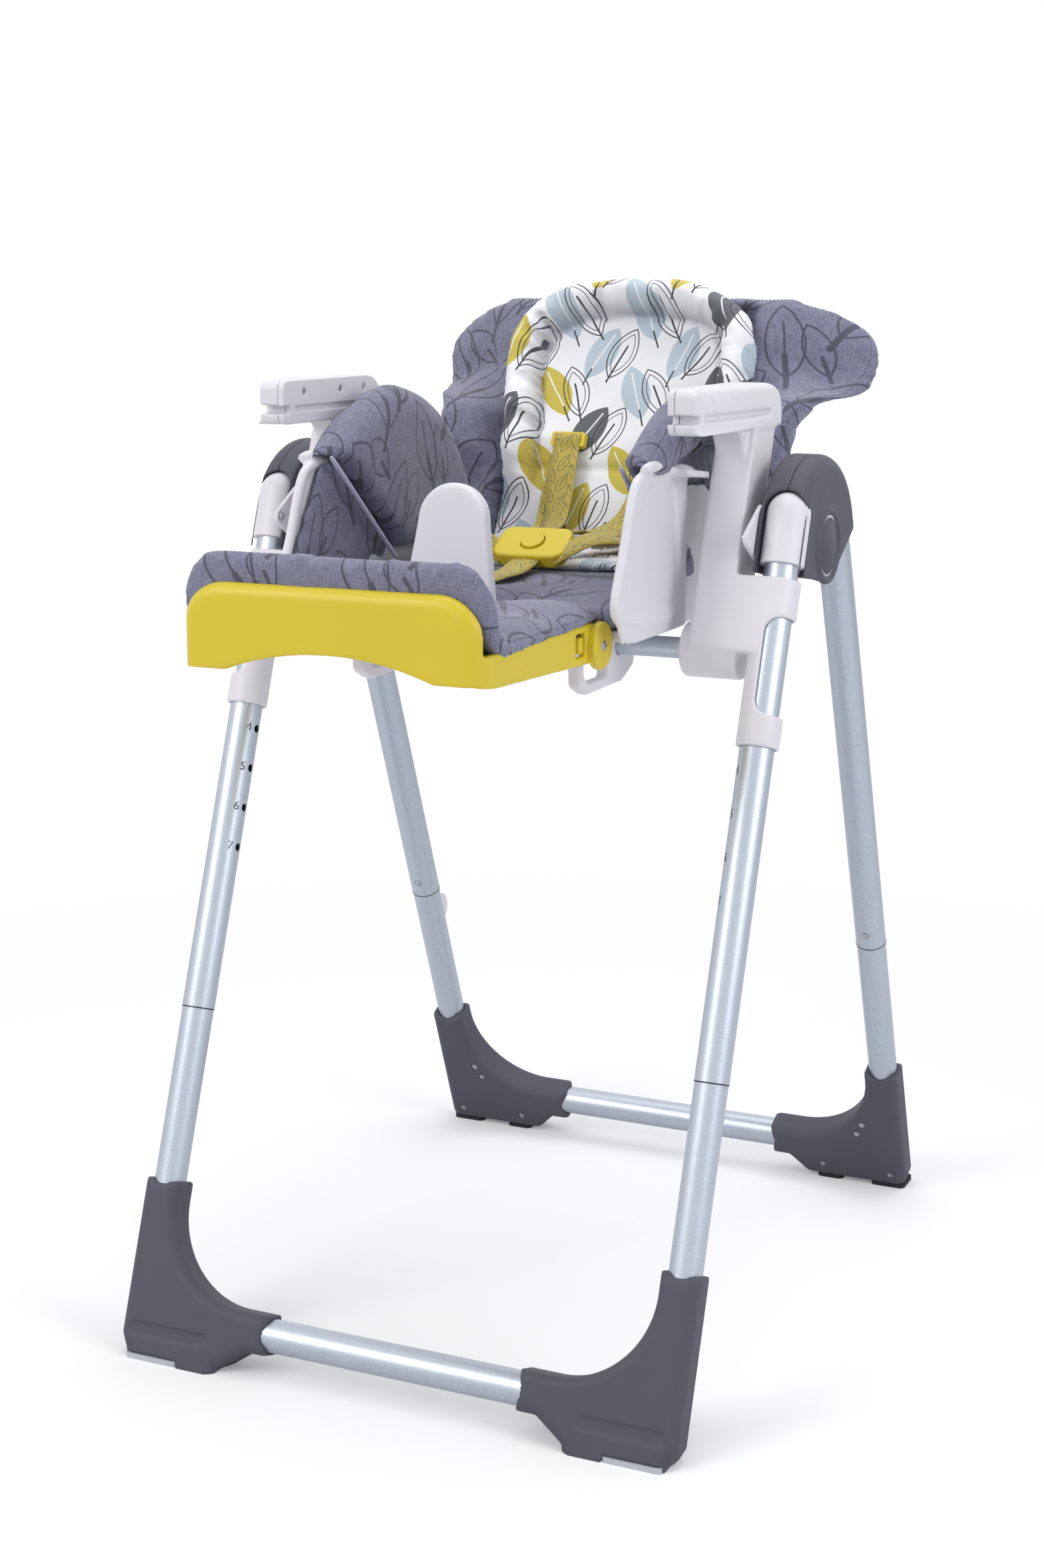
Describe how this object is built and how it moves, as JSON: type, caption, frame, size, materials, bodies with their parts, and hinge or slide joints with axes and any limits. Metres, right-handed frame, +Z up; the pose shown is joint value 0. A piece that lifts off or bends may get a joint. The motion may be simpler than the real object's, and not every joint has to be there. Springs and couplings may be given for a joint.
{
  "type": "baby high chair",
  "caption": "Folding baby high chair on four tube legs, with a height-adjusting seat, reclining padded back, tilting calf rest, harness and crotch post.",
  "frame": {"origin": "on the floor, midway between left and right and between the foremost and rearmost points", "axes": "+Z up, +Y to the rear of the chair, +X to the right in a front view; the chair faces -Y"},
  "size_m": [0.588, 0.851, 1.0253],
  "materials": {
    "leg_tube": "silver-blue lacquer with a fine metallic grain, satin",
    "slate_plastic": "dark slate grey, fine matt texture",
    "button_plastic": "dark grey, semi-gloss",
    "white_plastic": "warm white moulding, satin",
    "black_plastic": "black nylon, matt",
    "glide_plastic": "pale grey glide, matt",
    "rubber": "dark rubber, matt",
    "steel": "zinc plated, satin",
    "chrome": "bright chrome",
    "mustard_plastic": "mustard yellow, satin",
    "grey_fabric": "slate grey linen weave with a tone-on-tone petal print",
    "liner_fabric": "white cotton with a mustard, pale blue and charcoal petal print",
    "webbing": "mustard woven webbing with small green petals"
  },
  "bodies": {
    "front_frame": {"front_leg_upper_left": "leg_tube", "front_leg_upper_right": "leg_tube", "front_leg_lower_left": "leg_tube", "front_leg_lower_right": "leg_tube", "front_cross_tube": "leg_tube", "front_foot_left": "slate_plastic", "front_foot_right": "slate_plastic", "front_foot_glides": "glide_plastic", "front_foot_screws": "steel", "hub_outer_shell_left": "slate_plastic", "hub_outer_shell_right": "slate_plastic", "hub_inner_shell_left": "slate_plastic", "hub_inner_shell_right": "slate_plastic", "hub_leg_sockets": "white_plastic", "hub_pivot_pins": "steel", "hub_bezels": "chrome", "hub_brace_plates": "white_plastic", "hub_rivets": "steel"},
    "rear_frame": {"rear_leg_upper_left": "leg_tube", "rear_leg_upper_right": "leg_tube", "rear_leg_lower_left": "leg_tube", "rear_leg_lower_right": "leg_tube", "rear_cross_tube": "leg_tube", "rear_foot_left": "slate_plastic", "rear_foot_right": "slate_plastic", "rear_foot_pads": "rubber", "rear_foot_screws": "steel", "rear_knuckle_left": "black_plastic", "rear_knuckle_right": "black_plastic", "tray_hooks": "white_plastic"},
    "carriage": {"side_frame_left": "white_plastic", "side_frame_right": "white_plastic", "armrest_cover_left": "white_plastic", "armrest_cover_right": "white_plastic", "armrest_screws": "steel", "seat_cross_tube": "leg_tube", "seat_shell": "white_plastic", "crotch_post": "white_plastic", "seat_pad": "grey_fabric", "wing_pad_left": "grey_fabric", "wing_pad_right": "grey_fabric", "lap_straps": "webbing", "buckle": "mustard_plastic"},
    "backrest": {"backrest_shell": "white_plastic", "backrest_pad": "grey_fabric", "infant_liner": "liner_fabric", "shoulder_straps": "webbing", "strap_sliders": "mustard_plastic"},
    "recline_handle": {"recline_handle": "mustard_plastic"},
    "calf_rest": {"calf_rest_frame": "mustard_plastic", "calf_pad": "grey_fabric", "calf_rest_pivots": "mustard_plastic"},
    "calf_rest_catch": {"calf_rest_catch": "mustard_plastic"},
    "buckle_button": {"buckle_button": "mustard_plastic"},
    "hub_button_left": {"hub_button_left": "button_plastic"},
    "hub_button_right": {"hub_button_right": "button_plastic"},
    "height_latch_left": {"height_latch_left": "mustard_plastic"},
    "height_latch_right": {"height_latch_right": "mustard_plastic"},
    "rear_snap_pin_left": {"rear_snap_pin_left": "steel"},
    "rear_snap_pin_right": {"rear_snap_pin_right": "steel"}
  },
  "joints": [
    {"name": "fold", "type": "hinge", "parent": "front_frame", "child": "rear_frame", "pos_m": [0, 0.024, 0.775], "axis": [1, 0, 0], "range_deg": [-38, 0]},
    {"name": "seat_height", "type": "slide", "parent": "front_frame", "child": "carriage", "axis": [0, 0.3446, 0.9387], "range_m": [-0.24, 0]},
    {"name": "recline", "type": "hinge", "parent": "carriage", "child": "backrest", "pos_m": [0, 0.135, 0.715], "axis": [1, 0, 0], "range_deg": [-20, 15]},
    {"name": "recline_release", "type": "hinge", "parent": "backrest", "child": "recline_handle", "pos_m": [0, 0.2692, 0.84662], "axis": [1, 0, 0], "range_deg": [-12, 0], "stiffness_Nm_per_rad": 1.5, "springref_deg": 20.05},
    {"name": "calf_rest_tilt", "type": "hinge", "parent": "carriage", "child": "calf_rest", "pos_m": [0, -0.185, 0.7], "axis": [1, 0, 0], "range_deg": [0, 80]},
    {"name": "calf_rest_release", "type": "slide", "parent": "calf_rest", "child": "calf_rest_catch", "axis": [0, -1, 0], "range_m": [0, 0.004], "stiffness_N_per_m": 300, "springref_m": -0.002},
    {"name": "buckle_press", "type": "slide", "parent": "carriage", "child": "buckle_button", "axis": [0, 0.5299, -0.848], "range_m": [0, 0.0018], "stiffness_N_per_m": 300, "springref_m": -0.0005},
    {"name": "hub_button_press_left", "type": "slide", "parent": "front_frame", "child": "hub_button_left", "axis": [1, 0, 0], "range_m": [0, 0.003], "stiffness_N_per_m": 500, "springref_m": -0.0008},
    {"name": "height_latch_press_left", "type": "hinge", "parent": "carriage", "child": "height_latch_left", "pos_m": [-0.26077, -0.03548, 0.72972], "axis": [0.9397, -0.3211, 0.1179], "range_deg": [0, 12], "stiffness_Nm_per_rad": 0.3, "springref_deg": -11.46},
    {"name": "snap_pin_press_left", "type": "slide", "parent": "rear_frame", "child": "rear_snap_pin_left", "axis": [0, 0.9311, 0.3649], "range_m": [0, 0.0024], "stiffness_N_per_m": 300, "springref_m": -0.0005},
    {"name": "hub_button_press_right", "type": "slide", "parent": "front_frame", "child": "hub_button_right", "axis": [-1, 0, 0], "range_m": [0, 0.003], "stiffness_N_per_m": 500, "springref_m": -0.0008},
    {"name": "height_latch_press_right", "type": "hinge", "parent": "carriage", "child": "height_latch_right", "pos_m": [0.26077, -0.03548, 0.72972], "axis": [0.9397, 0.3211, -0.1179], "range_deg": [0, 12], "stiffness_Nm_per_rad": 0.3, "springref_deg": -11.46},
    {"name": "snap_pin_press_right", "type": "slide", "parent": "rear_frame", "child": "rear_snap_pin_right", "axis": [0, 0.9311, 0.3649], "range_m": [0, 0.0024], "stiffness_N_per_m": 300, "springref_m": -0.0005}
  ]
}
